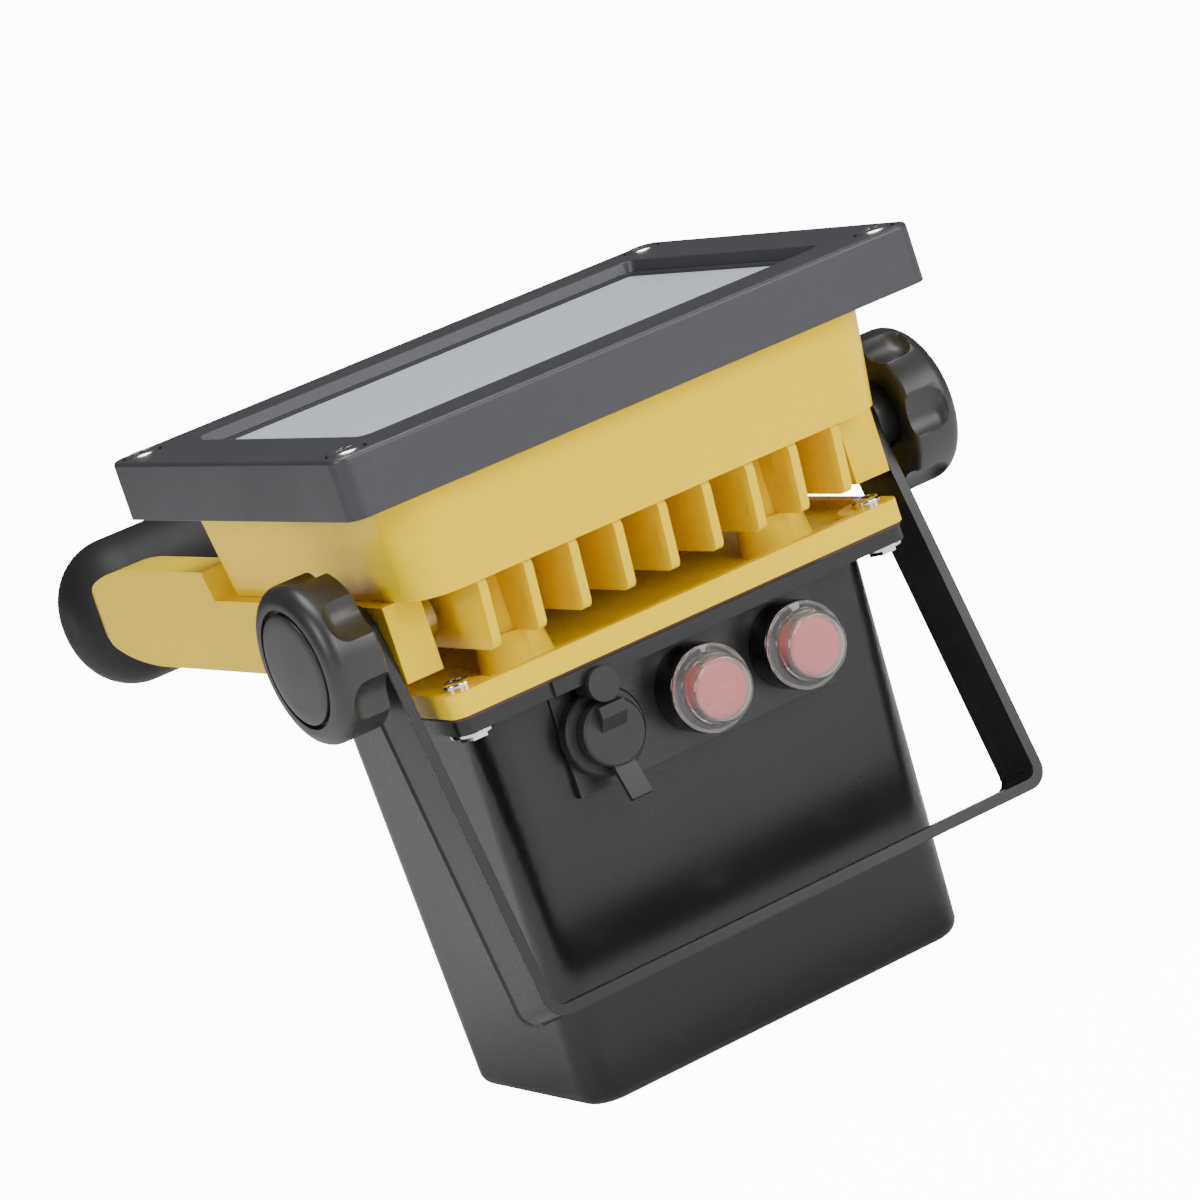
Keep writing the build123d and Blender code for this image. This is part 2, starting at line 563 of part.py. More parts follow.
# ---------------------------------------------------------------- bracket, studs and knobs
tilt = math.radians(bracket_angle)
bracket_plane = Plane(origin=(0, pivot_y, pivot_z), x_dir=(1, 0, 0), z_dir=(0, -math.cos(tilt), math.sin(tilt)))
with BuildPart() as bracket:
    with BuildSketch(bracket_plane) as strip:
        with Locations((0, (bracket_w / 2 - bracket_len) / 2)):
            Rectangle(2 * bracket_out_hx, bracket_w / 2 + bracket_len)
        fillet(strip.vertices().group_by(Axis.Y)[0], 6.0)
        with BuildSketch(mode=Mode.PRIVATE) as inner:
            with Locations((0, 30.0 + (bracket_t - bracket_len) / 2)):
                Rectangle(2 * (bracket_out_hx - bracket_t), 60.0 + bracket_len - bracket_t)
            fillet(inner.vertices().group_by(Axis.Y)[0], 2.9)
        add(inner.sketch, mode=Mode.SUBTRACT)
    extrude(amount=bracket_w / 2, both=True)
    fillet(bracket.edges().filter_by(Axis.X).filter_by(lambda e: e.length < bracket_t + 0.5),
           bracket_w / 2 - 0.1)
    with Locations((0, pivot_y, pivot_z)):
        Cylinder(stud_r + 0.06, 300, rotation=(0, 90, 0), mode=Mode.SUBTRACT)
    with Locations(Plane(origin=(0, pivot_y, pivot_z), x_dir=(1, 0, 0),
                         z_dir=(0, -math.sin(tilt), -math.cos(tilt)))):
        with Locations((0, 0, bracket_len)):
            Cylinder(4.2, 20, mode=Mode.SUBTRACT)
        with Locations((-40, 0, bracket_len), (40, 0, bracket_len)):
            Cylinder(3.2, 20, mode=Mode.SUBTRACT)
bracket.part.label = "bracket"
export_step(bracket.part, "parts/bracket.step")

lobe_count = 6
for name, side, phase in (("left", -1, 30.0), ("right", 1, 0.0)):
    at = Location((0, pivot_y, pivot_z)) * Location((0, 0, 0), (0, 0, 180 if side < 0 else 0))

    stud = turned([(60.4, 0), (60.4, 6.5), (66.3, 6.5), (66.3, stud_r), (93.0, stud_r), (93.6, stud_r - 0.6),
                   (93.6, 0)], at)
    stud.label = f"pivot_stud_{name}"
    export_step(stud, f"parts/pivot_stud_{name}.step")

    insert = turned([(knob_x0 + 0.3, stud_r + 0.05), (knob_x0 + 0.3, 6.0), (96.0, 6.0), (96.0, 0),
                     (94.5, 0), (94.5, stud_r + 0.05)], at)
    insert.label = f"knob_insert_{name}"
    export_step(insert, f"parts/knob_insert_{name}.step")

    with BuildPart() as knob_body:
        add(turned([(knob_x0, 6.0), (knob_x0, 9.5), (88.0, 11.0), (88.0, 18.6), (84.6, 19.2), (84.6, 20.6),
                    (87.0, 22.0), (94.5, 21.6), (98.4, 19.4), (99.8, 17.2), (99.8, 15.5), (98.0, 15.5),
                    (98.0, 6.0)], Location((0, 0, 0))))
        for i in range(lobe_count):
            a = math.radians(phase + 360.0 * i / lobe_count)
            with Locations((92.0, 28.4 * math.cos(a), 28.4 * math.sin(a))):
                Cylinder(9.0, 40, rotation=(0, 90, 0), mode=Mode.SUBTRACT)
    body = knob_body.part.moved(at)
    body.label = f"knob_{name}"
    export_step(body, f"parts/knob_{name}.step")

    cap = turned([(98.05, 0), (98.05, 15.2), (99.6, 15.2), (100.2, 14.2), (100.4, 0)], at)
    cap.label = f"knob_cap_{name}"
    export_step(cap, f"parts/knob_cap_{name}.step")
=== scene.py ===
import math

import bmesh
import bpy
from bpy.props import FloatProperty, FloatVectorProperty, IntProperty, PointerProperty
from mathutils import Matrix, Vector


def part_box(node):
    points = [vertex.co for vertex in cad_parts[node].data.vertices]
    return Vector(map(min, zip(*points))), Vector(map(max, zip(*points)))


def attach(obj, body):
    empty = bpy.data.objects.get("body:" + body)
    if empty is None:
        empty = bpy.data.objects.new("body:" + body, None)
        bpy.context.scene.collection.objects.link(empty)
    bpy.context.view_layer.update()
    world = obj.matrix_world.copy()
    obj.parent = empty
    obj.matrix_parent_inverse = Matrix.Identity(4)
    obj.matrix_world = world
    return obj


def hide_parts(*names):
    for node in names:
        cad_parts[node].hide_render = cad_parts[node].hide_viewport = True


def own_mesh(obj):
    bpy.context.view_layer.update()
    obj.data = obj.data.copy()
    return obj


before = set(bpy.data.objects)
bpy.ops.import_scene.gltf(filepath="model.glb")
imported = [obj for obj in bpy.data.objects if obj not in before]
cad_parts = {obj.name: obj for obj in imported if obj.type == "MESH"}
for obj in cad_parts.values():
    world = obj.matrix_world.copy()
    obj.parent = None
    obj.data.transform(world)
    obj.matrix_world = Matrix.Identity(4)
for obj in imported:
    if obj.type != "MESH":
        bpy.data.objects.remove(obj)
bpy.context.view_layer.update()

bl_info = {
    "name": "Rechargeable work light",
    "version": (1, 0, 0),
    "blender": (4, 5, 0),
    "location": "View3D > Sidebar > Work light",
    "description": "Finishes the work light's head, battery box, controls, handle, bracket and knobs",
    "category": "Object",
}

MM = 0.001
LAMP = "lamp"
SHARP_ANGLE = math.radians(34.0)
FLAT_LIMIT = math.radians(0.6)
NORMAL_WEIGHT = 80

ARM_ROUNDING = 3.2 * MM
ARM_EDGE = 0.4 * MM
NOSE_LENGTH = 44.0 * MM

RIM_WIDTH = 1.5 * MM
RIM_DEPTH = 0.45 * MM
STRIP_EDGE = 0.35 * MM
HOLE_FACE_AREA = 4.0 * MM * MM

KNOB_BACK = 3.2 * MM
KNOB_CORNER = 4.4 * MM
SCALLOP_RADIUS = 9.2 * MM
SCALLOP_CIRCLE = 28.2 * MM
SCALLOP_LENGTH = 22.0 * MM
SCALLOP_STOP = 3.4 * MM
GROOVE_RADIUS, GROOVE_DEPTH = 16.4 * MM, 4.0 * MM
HOLLOW_RADIUS, HOLLOW_DEPTH = 17.6 * MM, 6.0 * MM
DISC_RADIUS, DISC_DEPTH = 15.2 * MM, 2.4 * MM
HUB_RADIUS, HUB_REACH = 9.4 * MM, 3.0 * MM

SKY_LEVEL, SKY_SEEN = 0.09, 12.0
FLOOR_GLOW = 12.0
LIGHTS = (
    ("key_light", (-1.9, -0.5, 1.0), 0.8, 22.0),
    ("top_light", (0.1, -0.1, 1.9), 1.3, 44.0),
    ("side_light", (1.2, -1.5, 0.8), 0.9, 20.0),
    ("front_light", (0.1, -2.2, 1.1), 0.9, 29.0),
)
LIGHTS_AIM = Vector((0, 0.03, 0.11))
CAMERA_PLACE = (-0.618, -1.2214, 0.3857)
CAMERA_TURN = tuple(math.radians(angle) for angle in (78.38, 18.077, -30.608))
CAMERA_LENS = 155.6


# ---------------------------------------------------------------- settings
class WorkLightBody(bpy.types.PropertyGroup):
    yellow: FloatVectorProperty(
        name="Housing yellow", description="Paint of the heat sink, plate and handle arms",
        subtype="COLOR", size=3, default=(0.90, 0.62, 0.0), min=0.0, max=1.0)
    charcoal: FloatVectorProperty(
        name="Frame charcoal", description="Powder coat of the lens frame",
        subtype="COLOR", size=3, default=(0.034, 0.034, 0.039), min=0.0, max=1.0)
    black: FloatVectorProperty(
        name="Case black", description="Moulded plastic of the battery box",
        subtype="COLOR", size=3, default=(0.010, 0.010, 0.011), min=0.0, max=1.0)
    edge: FloatProperty(
        name="Edge rounding", description="Radius worked onto the cast edges",
        subtype="DISTANCE", unit="LENGTH", default=0.7 * MM, min=0.1 * MM, max=2.0 * MM)
    steps: IntProperty(
        name="Edge steps", description="Faces across each rounded edge", default=3, min=1, max=6)


class WorkLightControls(bpy.types.PropertyGroup):
    red: FloatVectorProperty(
        name="Button red", description="Plastic of the two push buttons",
        subtype="COLOR", size=3, default=(0.70, 0.012, 0.020), min=0.0, max=1.0)


class WorkLightKnob(bpy.types.PropertyGroup):
    lobes: IntProperty(
        name="Lobes", description="Lobes round each hand knob", default=6, min=3, max=10)
    rounding: FloatProperty(
        name="Lobe rounding", description="Radius on the edges of the hand knobs",
        subtype="DISTANCE", unit="LENGTH", default=0.9 * MM, min=0.2 * MM, max=3.0 * MM)


# ---------------------------------------------------------------- modelling helpers
def deselect():
    if bpy.context.mode != "OBJECT":
        bpy.ops.object.mode_set(mode="OBJECT")
    bpy.ops.object.select_all(action="DESELECT")


def make_active(piece):
    deselect()
    piece.select_set(True)
    bpy.context.view_layer.objects.active = piece


def settle(piece, name):
    """Names a piece and works its place, turn and size into its mesh."""
    make_active(piece)
    piece.name = piece.data.name = name
    bpy.ops.object.transform_apply(location=True, rotation=True, scale=True)
    return piece


def pick_faces(piece, wanted):
    """In edit mode, selects just the faces whose centre and normal pass the test."""
    mesh = bmesh.from_edit_mesh(piece.data)
    bpy.ops.mesh.select_mode(type="FACE")
    for face in mesh.faces:
        face.select_set(False)
    for face in mesh.faces:
        if wanted(face.calc_center_median(), face.normal):
            face.select_set(True)
    mesh.select_flush(True)
    bmesh.update_edit_mesh(piece.data)


def pick_edges(piece, wanted):
    """In edit mode, selects the edges whose middle and two face normals pass the test."""
    bpy.ops.mesh.select_mode(type="EDGE")
    mesh = bmesh.from_edit_mesh(piece.data)
    for edge in mesh.edges:
        edge.select_set(False)
    for edge in mesh.edges:
        if len(edge.link_faces) == 2:
            middle = (edge.verts[0].co + edge.verts[1].co) / 2
            first, second = (face.normal for face in edge.link_faces)
            if wanted(middle, first, second) or wanted(middle, second, first):
                edge.select_set(True)
    bmesh.update_edit_mesh(piece.data)


def modifier(piece, kind, **settings):
    """Adds a modifier and applies it."""
    make_active(piece)
    made = piece.modifiers.new(kind.title(), kind)
    for key, value in settings.items():
        setattr(made, key, value)
    bpy.ops.object.modifier_apply(modifier=made.name)


def smooth(piece, degrees=32.0):
    make_active(piece)
    bpy.ops.object.shade_smooth_by_angle(angle=math.radians(degrees))


def outward(piece):
    make_active(piece)
    bpy.ops.object.mode_set(mode="EDIT")
    bpy.ops.mesh.select_all(action="SELECT")
    bpy.ops.mesh.remove_doubles(threshold=0.00001)
    bpy.ops.mesh.normals_make_consistent(inside=False)
    bpy.ops.object.mode_set(mode="OBJECT")


def own(piece, body, slot, material, *nodes):
    """The piece rides on a body, takes a material, and stands for CAD nodes; the slot argument is not used.
    """
    piece.data.materials.clear()
    piece.data.materials.append(material)
    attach(piece, body)
    if nodes:
        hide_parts(*nodes)
    return piece


def round_edges(piece, radius, steps):
    """Rounds the sharp edges with a bevel."""
    modifier(piece, "BEVEL", width=radius, segments=steps, limit_method="ANGLE",
             angle_limit=SHARP_ANGLE, harden_normals=False, use_clamp_overlap=True,
             miter_outer="MITER_ARC")


def even_shading(piece):
    """Smooths the rounded edges while the flat faces stay flat."""
    smooth(piece)
    modifier(piece, "WEIGHTED_NORMAL", keep_sharp=True, weight=NORMAL_WEIGHT)


def worked_copy(node, name, radius, steps=3):
    """A merged copy of a node, with its flat faces made whole and its edges rounded."""
    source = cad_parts[node]
    deselect()
    piece = bpy.data.objects.new(name, source.data.copy())
    piece.data.name = name
    bpy.context.scene.collection.objects.link(piece)
    make_active(piece)
    bpy.ops.object.mode_set(mode="EDIT")
    bpy.ops.mesh.select_all(action="SELECT")
    bpy.ops.mesh.remove_doubles(threshold=0.000004)
    bpy.ops.mesh.customdata_custom_splitnormals_clear()
    bpy.ops.mesh.dissolve_limited(angle_limit=FLAT_LIMIT, use_dissolve_boundaries=False)
    bpy.ops.object.mode_set(mode="OBJECT")
    if radius > 0:
        round_edges(piece, radius, steps)
    bpy.ops.object.mode_set(mode="EDIT")
    bpy.ops.mesh.select_all(action="SELECT")
    bpy.ops.mesh.remove_doubles(threshold=0.000002)
    bpy.ops.object.mode_set(mode="OBJECT")
    even_shading(piece)
    return piece


# ---------------------------------------------------------------- shared shader groups
def new_group(name, inputs, outputs):
    group = bpy.data.node_groups.new(name, "ShaderNodeTree")
    for label, kind, value in inputs:
        socket = group.interface.new_socket(name=label, in_out="INPUT", socket_type=kind)
        if value is not None:
            socket.default_value = value
    for label, kind in outputs:
        group.interface.new_socket(name=label, in_out="OUTPUT", socket_type=kind)
    return group, group.nodes.new("NodeGroupInput"), group.nodes.new("NodeGroupOutput")


def math_node(tree, operation, a, b):
    node = tree.nodes.new("ShaderNodeMath")
    node.operation = operation
    for socket, value in zip(node.inputs, (a, b)):
        if isinstance(value, (int, float)):
            socket.default_value = value
        else:
            tree.links.new(value, socket)
    return node.outputs[0]


def build_grain_group():
    """Fine moulded or sprayed grain: a normal, and a roughness that varies with it."""
    group, start, end = new_group(
        "moulded_grain",
        [("Vector", "NodeSocketVector", None), ("Scale", "NodeSocketFloat", 900.0),
         ("Height", "NodeSocketFloat", 0.00004), ("Low", "NodeSocketFloat", 0.3),
         ("High", "NodeSocketFloat", 0.45)],
        [("Normal", "NodeSocketVector"), ("Roughness", "NodeSocketFloat")])
    fine = group.nodes.new("ShaderNodeTexNoise")
    fine.inputs["Detail"].default_value = 3.0
    broad = group.nodes.new("ShaderNodeTexNoise")
    broad.inputs["Scale"].default_value = 35.0
    broad.inputs["Detail"].default_value = 4.0
    bump = group.nodes.new("ShaderNodeBump")
    bump.inputs["Strength"].default_value = 1.0
    links = group.links
    links.new(start.outputs["Vector"], fine.inputs["Vector"])
    links.new(start.outputs["Vector"], broad.inputs["Vector"])
    links.new(start.outputs["Scale"], fine.inputs["Scale"])
    links.new(math_node(group, "MULTIPLY", fine.outputs["Fac"], start.outputs["Height"]),
              bump.inputs["Height"])
    spread = group.nodes.new("ShaderNodeMapRange")
    links.new(broad.outputs["Fac"], spread.inputs["Value"])
    spread.inputs["From Min"].default_value = 0.3
    spread.inputs["From Max"].default_value = 0.7
    links.new(start.outputs["Low"], spread.inputs["To Min"])
    links.new(start.outputs["High"], spread.inputs["To Max"])
    links.new(bump.outputs["Normal"], end.inputs["Normal"])
    links.new(spread.outputs["Result"], end.inputs["Roughness"])
    return group


def build_tone_group():
    """Slight drift of a colour over a surface, with a trace of pale dust."""
    group, start, end = new_group(
        "tone_drift",
        [("Vector", "NodeSocketVector", None), ("Color", "NodeSocketColor", (0.5, 0.5, 0.5, 1)),
         ("Scale", "NodeSocketFloat", 20.0), ("Drift", "NodeSocketFloat", 0.12),
         ("Dust", "NodeSocketFloat", 0.02)],
        [("Color", "NodeSocketColor")])
    links = group.links
    noise = group.nodes.new("ShaderNodeTexNoise")
    noise.inputs["Detail"].default_value = 5.0
    links.new(start.outputs["Vector"], noise.inputs["Vector"])
    links.new(start.outputs["Scale"], noise.inputs["Scale"])
    centred = math_node(group, "SUBTRACT", noise.outputs["Fac"], 0.5)
    gain = math_node(group, "ADD", math_node(group, "MULTIPLY", centred, start.outputs["Drift"]), 1.0)
    shade = group.nodes.new("ShaderNodeHueSaturation")
    links.new(gain, shade.inputs["Value"])
    links.new(start.outputs["Color"], shade.inputs["Color"])
    specks = group.nodes.new("ShaderNodeTexNoise")
    specks.inputs["Scale"].default_value = 1400.0
    specks.inputs["Detail"].default_value = 2.0
    links.new(start.outputs["Vector"], specks.inputs["Vector"])
    bright = group.nodes.new("ShaderNodeMapRange")
    bright.inputs["From Min"].default_value = 0.66
    bright.inputs["From Max"].default_value = 0.80
    links.new(specks.outputs["Fac"], bright.inputs["Value"])
    links.new(start.outputs["Dust"], bright.inputs["To Max"])
    mix = group.nodes.new("ShaderNodeMix")
    mix.data_type = "RGBA"
    mix.inputs["B"].default_value = (0.45, 0.44, 0.42, 1)
    links.new(bright.outputs["Result"], mix.inputs["Factor"])
    links.new(shade.outputs["Color"], mix.inputs["A"])
    links.new(mix.outputs["Result"], end.inputs["Color"])
    return group


MADE = {}


def finish(name, color, grain=(900.0, 0.00003), rough=(0.3, 0.4), drift=0.10, dust=0.01, **shader):
    """A procedural finish: colour drift, grain and roughness on Object coordinates."""
    if name in MADE:
        return MADE[name]
    if "grain_group" not in MADE:
        MADE["grain_group"] = build_grain_group()
        MADE["tone_group"] = build_tone_group()
    material = bpy.data.materials.new(name)
    material.use_nodes = True
    tree = material.node_tree
    principled = tree.nodes["Principled BSDF"]
    place = tree.nodes.new("ShaderNodeTexCoord").outputs["Object"]
    tone = tree.nodes.new("ShaderNodeGroup")
    tone.node_tree = MADE["tone_group"]
    tone.inputs["Color"].default_value = (*color, 1)
    tone.inputs["Drift"].default_value = drift
    tone.inputs["Dust"].default_value = dust
    surface = tree.nodes.new("ShaderNodeGroup")
    surface.node_tree = MADE["grain_group"]
    surface.inputs["Scale"].default_value, surface.inputs["Height"].default_value = grain
    surface.inputs["Low"].default_value, surface.inputs["High"].default_value = rough
    for node in (tone, surface):
        tree.links.new(place, node.inputs["Vector"])
    tree.links.new(tone.outputs["Color"], principled.inputs["Base Color"])
    tree.links.new(surface.outputs["Roughness"], principled.inputs["Roughness"])
    tree.links.new(surface.outputs["Normal"], principled.inputs["Normal"])
    for key, value in shader.items():
        principled.inputs[key.replace("_", " ")].default_value = value
    material.diffuse_color = (*color, 1)
    MADE[name] = material
    return material


def body_settings():
    return bpy.context.scene.worklight_body


def yellow_paint():
    return finish("yellow_paint", body_settings().yellow, (260.0, 0.00001), (0.22, 0.30), 0.05, 0.0,
                  Specular_IOR_Level=0.35, Specular_Tint=(1.0, 0.62, 0.05, 1))


def charcoal_coat():
    return finish("charcoal_coat", body_settings().charcoal, (1500.0, 0.000035), (0.34, 0.42), 0.12, 0.01)


def case_plastic():
    return finish("case_plastic", body_settings().black, (1300.0, 0.00010), (0.26, 0.32), 0.10, 0.01,
                  Specular_IOR_Level=0.42)


def panel_plastic():
    return finish("panel_plastic", (0.013, 0.013, 0.014), (1000.0, 0.00003), (0.26, 0.34), 0.10, 0.01)


def bezel_plastic():
    return finish("bezel_plastic", (0.008, 0.008, 0.0085), (900.0, 0.00001), (0.12, 0.18), 0.08, 0.0)


def knob_plastic():
    return finish("knob_plastic", (0.020, 0.020, 0.022), (1300.0, 0.00003), (0.34, 0.42), 0.10, 0.01)


def bracket_paint():
    return finish("bracket_paint", (0.008, 0.008, 0.009), (700.0, 0.00001), (0.26, 0.34), 0.08, 0.0,
                  Specular_IOR_Level=0.3)


def grip_rubber():
    return finish("grip_rubber", (0.010, 0.010, 0.0105), (1600.0, 0.00005), (0.50, 0.60), 0.16, 0.01,
                  Specular_IOR_Level=0.3)


def cap_rubber():
    return finish("cap_rubber", (0.0125, 0.0125, 0.013), (1400.0, 0.00003), (0.42, 0.52), 0.12, 0.02)


def seal_rubber():
    return finish("seal_rubber", (0.010, 0.010, 0.010), (900.0, 0.00004), (0.55, 0.65), 0.1, 0.02)


def brown_rubber():
    return finish("brown_rubber", (0.060, 0.022, 0.010), (900.0, 0.00005), (0.6, 0.7), 0.2, 0.02)


def chrome_plate():
    return finish("chrome_plate", (0.70, 0.70, 0.71), (500.0, 0.00001), (0.14, 0.24), 0.06, 0.0, Metallic=1.0)


def bright_steel():
    return finish("bright_steel", (0.55, 0.55, 0.56), (700.0, 0.00002), (0.24, 0.36), 0.08, 0.0, Metallic=1.0)


def brass_metal():
    return finish("brass_metal", (0.66, 0.46, 0.17), (700.0, 0.00002), (0.22, 0.34), 0.08, 0.0, Metallic=1.0)


def button_red():
    red = bpy.context.scene.worklight_controls.red
    return finish("button_red", red, (400.0, 0.00001), (0.22, 0.30), 0.05, 0.0,
                  Subsurface_Weight=0.2, Subsurface_Scale=0.002)


def boot_silicone():
    return finish("boot_silicone", (0.98, 0.94, 0.94), (600.0, 0.000001), (0.03, 0.05), 0.02, 0.0,
                  Transmission_Weight=0.92, IOR=1.41)


def frosted_lens():
    return finish("frosted_lens", (0.80, 0.86, 0.94), (300.0, 0.000005), (0.08, 0.12), 0.06, 0.0,
                  Coat_Weight=0.6, Coat_Roughness=0.03)


def dress(node, material):
    """Gives a carried-over node its finish."""
    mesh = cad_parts[node].data
    mesh.materials.clear()
    mesh.materials.append(material)


# ---------------------------------------------------------------- operators
class WORKLIGHT_OT_lens_frame(bpy.types.Operator):
    """Rounds the lens frame and finishes the glass, its gaskets and the cross-head screws"""
    bl_idname = "worklight.lens_frame"
    bl_label = "Lens frame"

    def execute(self, context):
        look = body_settings()
        rim = worked_copy("front_frame", "lens_frame", 0.5 * MM, look.steps)
        own(rim, LAMP, "frame_paint", charcoal_coat(), "front_frame")
        heads = worked_copy("frame_screws", "lens_frame_screws", 0.15 * MM, 2)
        own(heads, LAMP, "screw_chrome", chrome_plate(), "frame_screws")
        dress("lens_glass", frosted_lens())
        for seal in ("lens_gasket", "lens_seal"):
            dress(seal, seal_rubber())
        return {"FINISHED"}


class WORKLIGHT_OT_heat_sink(bpy.types.Operator):
    """Rounds the cast heat sink with its fins, and the plate under it"""
    bl_idname = "worklight.heat_sink"
    bl_label = "Heat sink"

    def execute(self, context):
        look = body_settings()
        tub = worked_copy("heat_sink", "heat_sink_casting", look.edge, look.steps)
        own(tub, LAMP, "housing_yellow", yellow_paint(), "heat_sink")
        plate = worked_copy("mount_plate", "mount_plate_casting", 0.6 * MM, look.steps)
        own(plate, LAMP, "housing_yellow", yellow_paint(), "mount_plate")
        bolts = worked_copy("corner_bolts", "corner_bolt_heads", 0.15 * MM, 2)
        own(bolts, LAMP, "screw_chrome", chrome_plate(), "corner_bolts")
        washers = worked_copy("corner_washers", "corner_washer_rings", 0.2 * MM, 2)
        own(washers, LAMP, "screw_chrome", chrome_plate(), "corner_washers")
        dress("flange_gasket", brown_rubber())
        for node in ("corner_nuts", "plate_screws"):
            dress(node, chrome_plate())
        return {"FINISHED"}


class WORKLIGHT_OT_battery_box(bpy.types.Operator):
    """Rounds the battery box and its control panel"""
    bl_idname = "worklight.battery_box"
    bl_label = "Battery box"

    def execute(self, context):
        look = body_settings()
        case = worked_copy("battery_case", "battery_box_shell", 0.6 * MM, look.steps)
        own(case, LAMP, "case_black", case_plastic(), "battery_case")
        panel = worked_copy("control_panel", "control_panel_plate", 0.35 * MM, 2)
        own(panel, LAMP, "panel_black", panel_plastic(), "control_panel")
        return {"FINISHED"}


class WORKLIGHT_OT_buttons(bpy.types.Operator):
    """Makes the push buttons: bezel, red plunger and clear boot"""
    bl_idname = "worklight.buttons"
    bl_label = "Push buttons"

    def execute(self, context):
        for side in ("left", "right"):
            bezel = worked_copy(f"switch_housing_{side}", f"button_bezel_{side}", 0.4 * MM, 3)
            own(bezel, LAMP, "panel_black", bezel_plastic(), f"switch_housing_{side}")
            plunger = worked_copy(f"button_{side}", f"button_plunger_{side}", 0.3 * MM, 3)
            own(plunger, f"button_{side}_body", "button_red", button_red(), f"button_{side}")
            boot = worked_copy(f"button_boot_{side}", f"button_dome_{side}", 0.4 * MM, 3)
            own(boot, LAMP, "boot_clear", boot_silicone(), f"button_boot_{side}")
            for node in (f"switch_nut_{side}", f"switch_contacts_{side}"):
                dress(node, panel_plastic())
            spring = worked_copy(f"button_spring_{side}", f"button_coil_{side}", 0.0)
            own(spring, LAMP, "spring_steel", bright_steel(), f"button_spring_{side}")
            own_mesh(spring)
        return {"FINISHED"}


class WORKLIGHT_OT_charge_cap(bpy.types.Operator):
    """Finishes the charging socket, its retainer and the rubber cap"""
    bl_idname = "worklight.charge_cap"
    bl_label = "Charging cap"

    def execute(self, context):
        cap = worked_copy("charge_cap", "charge_cap_rubber", 0.5 * MM, 3)
        own(cap, "cap_body", "cap_rubber", cap_rubber(), "charge_cap")
        ring = worked_copy("cap_retainer", "cap_retainer_rubber", 0.5 * MM, 3)
        own(ring, LAMP, "cap_rubber", cap_rubber(), "cap_retainer")
        for node in ("charge_socket", "socket_nut"):
            dress(node, panel_plastic())
        dress("socket_pin", bright_steel())
        return {"FINISHED"}


def arm_edge_test(node, sign, is_upper):
    """Test for the edges where an arm's outer wall meets its top, its underside or its nose."""
    low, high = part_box(node)
    seam = low.z if is_upper else high.z

    def is_outer_edge(middle, wall, rim):
        on_wall = abs(wall.z) < 0.05 and wall.x * sign > 0.35
        on_rim = abs(rim.x) < 0.05
        on_face = middle.z > high.z - 2.0 * MM if is_upper else middle.z < low.z + 2.0 * MM
        on_nose = middle.y > high.y - NOSE_LENGTH and abs(middle.z - seam) > 1.0 * MM
        return on_wall and on_rim and (on_face or on_nose)

    return is_outer_edge


class WORKLIGHT_OT_handle(bpy.types.Operator):
    """Rounds the two-part handle arms and finishes the rubber grip"""
    bl_idname = "worklight.handle"
    bl_label = "Handle"

    def execute(self, context):
        for side, sign in (("left", -1), ("right", 1)):
            for node, name, is_upper in ((f"handle_arm_{side}", f"handle_arm_lower_{side}", False),
                                         (f"handle_cover_{side}", f"handle_arm_upper_{side}", True)):
                arm = worked_copy(node, name, 0.0)
                bpy.ops.object.mode_set(mode="EDIT")
                pick_edges(arm, arm_edge_test(node, sign, is_upper))
                bpy.ops.mesh.bevel(offset=ARM_ROUNDING, segments=6, affect="EDGES", clamp_overlap=True)
                bpy.ops.object.mode_set(mode="OBJECT")
                modifier(arm, "BEVEL", width=ARM_EDGE, segments=body_settings().steps,
                         limit_method="ANGLE", angle_limit=SHARP_ANGLE, use_clamp_overlap=True)
                even_shading(arm)
                own(arm, LAMP, "housing_yellow", yellow_paint(), node)
        dress("handle_grip", grip_rubber())
        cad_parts["handle_grip"].data.shade_smooth()
        dress("handle_tube", bright_steel())
        dress("arm_screws", chrome_plate())
        return {"FINISHED"}


def box_centre(node):
    """Middle of a node's box, moved onto the plane halfway across the lamp."""
    low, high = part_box(node)
    return Vector((0, (low.y + high.y) / 2, (low.z + high.z) / 2))


def pick_outer_band(strip, pivot):
    """In edit mode, selects the bent strip's outer side, without its edges and holes."""
    pick_faces(strip, lambda centre, normal: normal.dot(centre - pivot) > 0)
    mesh = bmesh.from_edit_mesh(strip.data)
    widest = max(mesh.faces, key=lambda face: face.calc_area())
    reach = widest.calc_center_median() - pivot
    along = Vector((0, reach.y, reach.z)).normalized()
    across = Vector((1, 0, 0)).cross(along)
    for face in mesh.faces:
        in_hole = face.calc_area() < HOLE_FACE_AREA
        if in_hole or abs(face.normal.dot(across)) > 0.3:
            face.select_set(False)
    bmesh.update_edit_mesh(strip.data)


class WORKLIGHT_OT_bracket(bpy.types.Operator):
    """Rounds the strip bracket and gives its outer side a raised rim"""
    bl_idname = "worklight.bracket"
    bl_label = "Bracket"

    def execute(self, context):
        strip = worked_copy("bracket", "stand_bracket", 0.0)
        bpy.ops.object.mode_set(mode="EDIT")
        pick_outer_band(strip, box_centre("knob_left"))
        bpy.ops.mesh.inset(thickness=RIM_WIDTH, depth=-RIM_DEPTH, use_even_offset=True)
        bpy.ops.object.mode_set(mode="OBJECT")
        modifier(strip, "BEVEL", width=STRIP_EDGE, segments=3, limit_method="ANGLE",
                 angle_limit=SHARP_ANGLE, use_clamp_overlap=True)
        even_shading(strip)
        own(strip, "bracket_body", "bracket_paint", bracket_paint(), "bracket")
        for side in ("left", "right"):
            dress(f"pivot_stud_{side}", bright_steel())
        return {"FINISHED"}


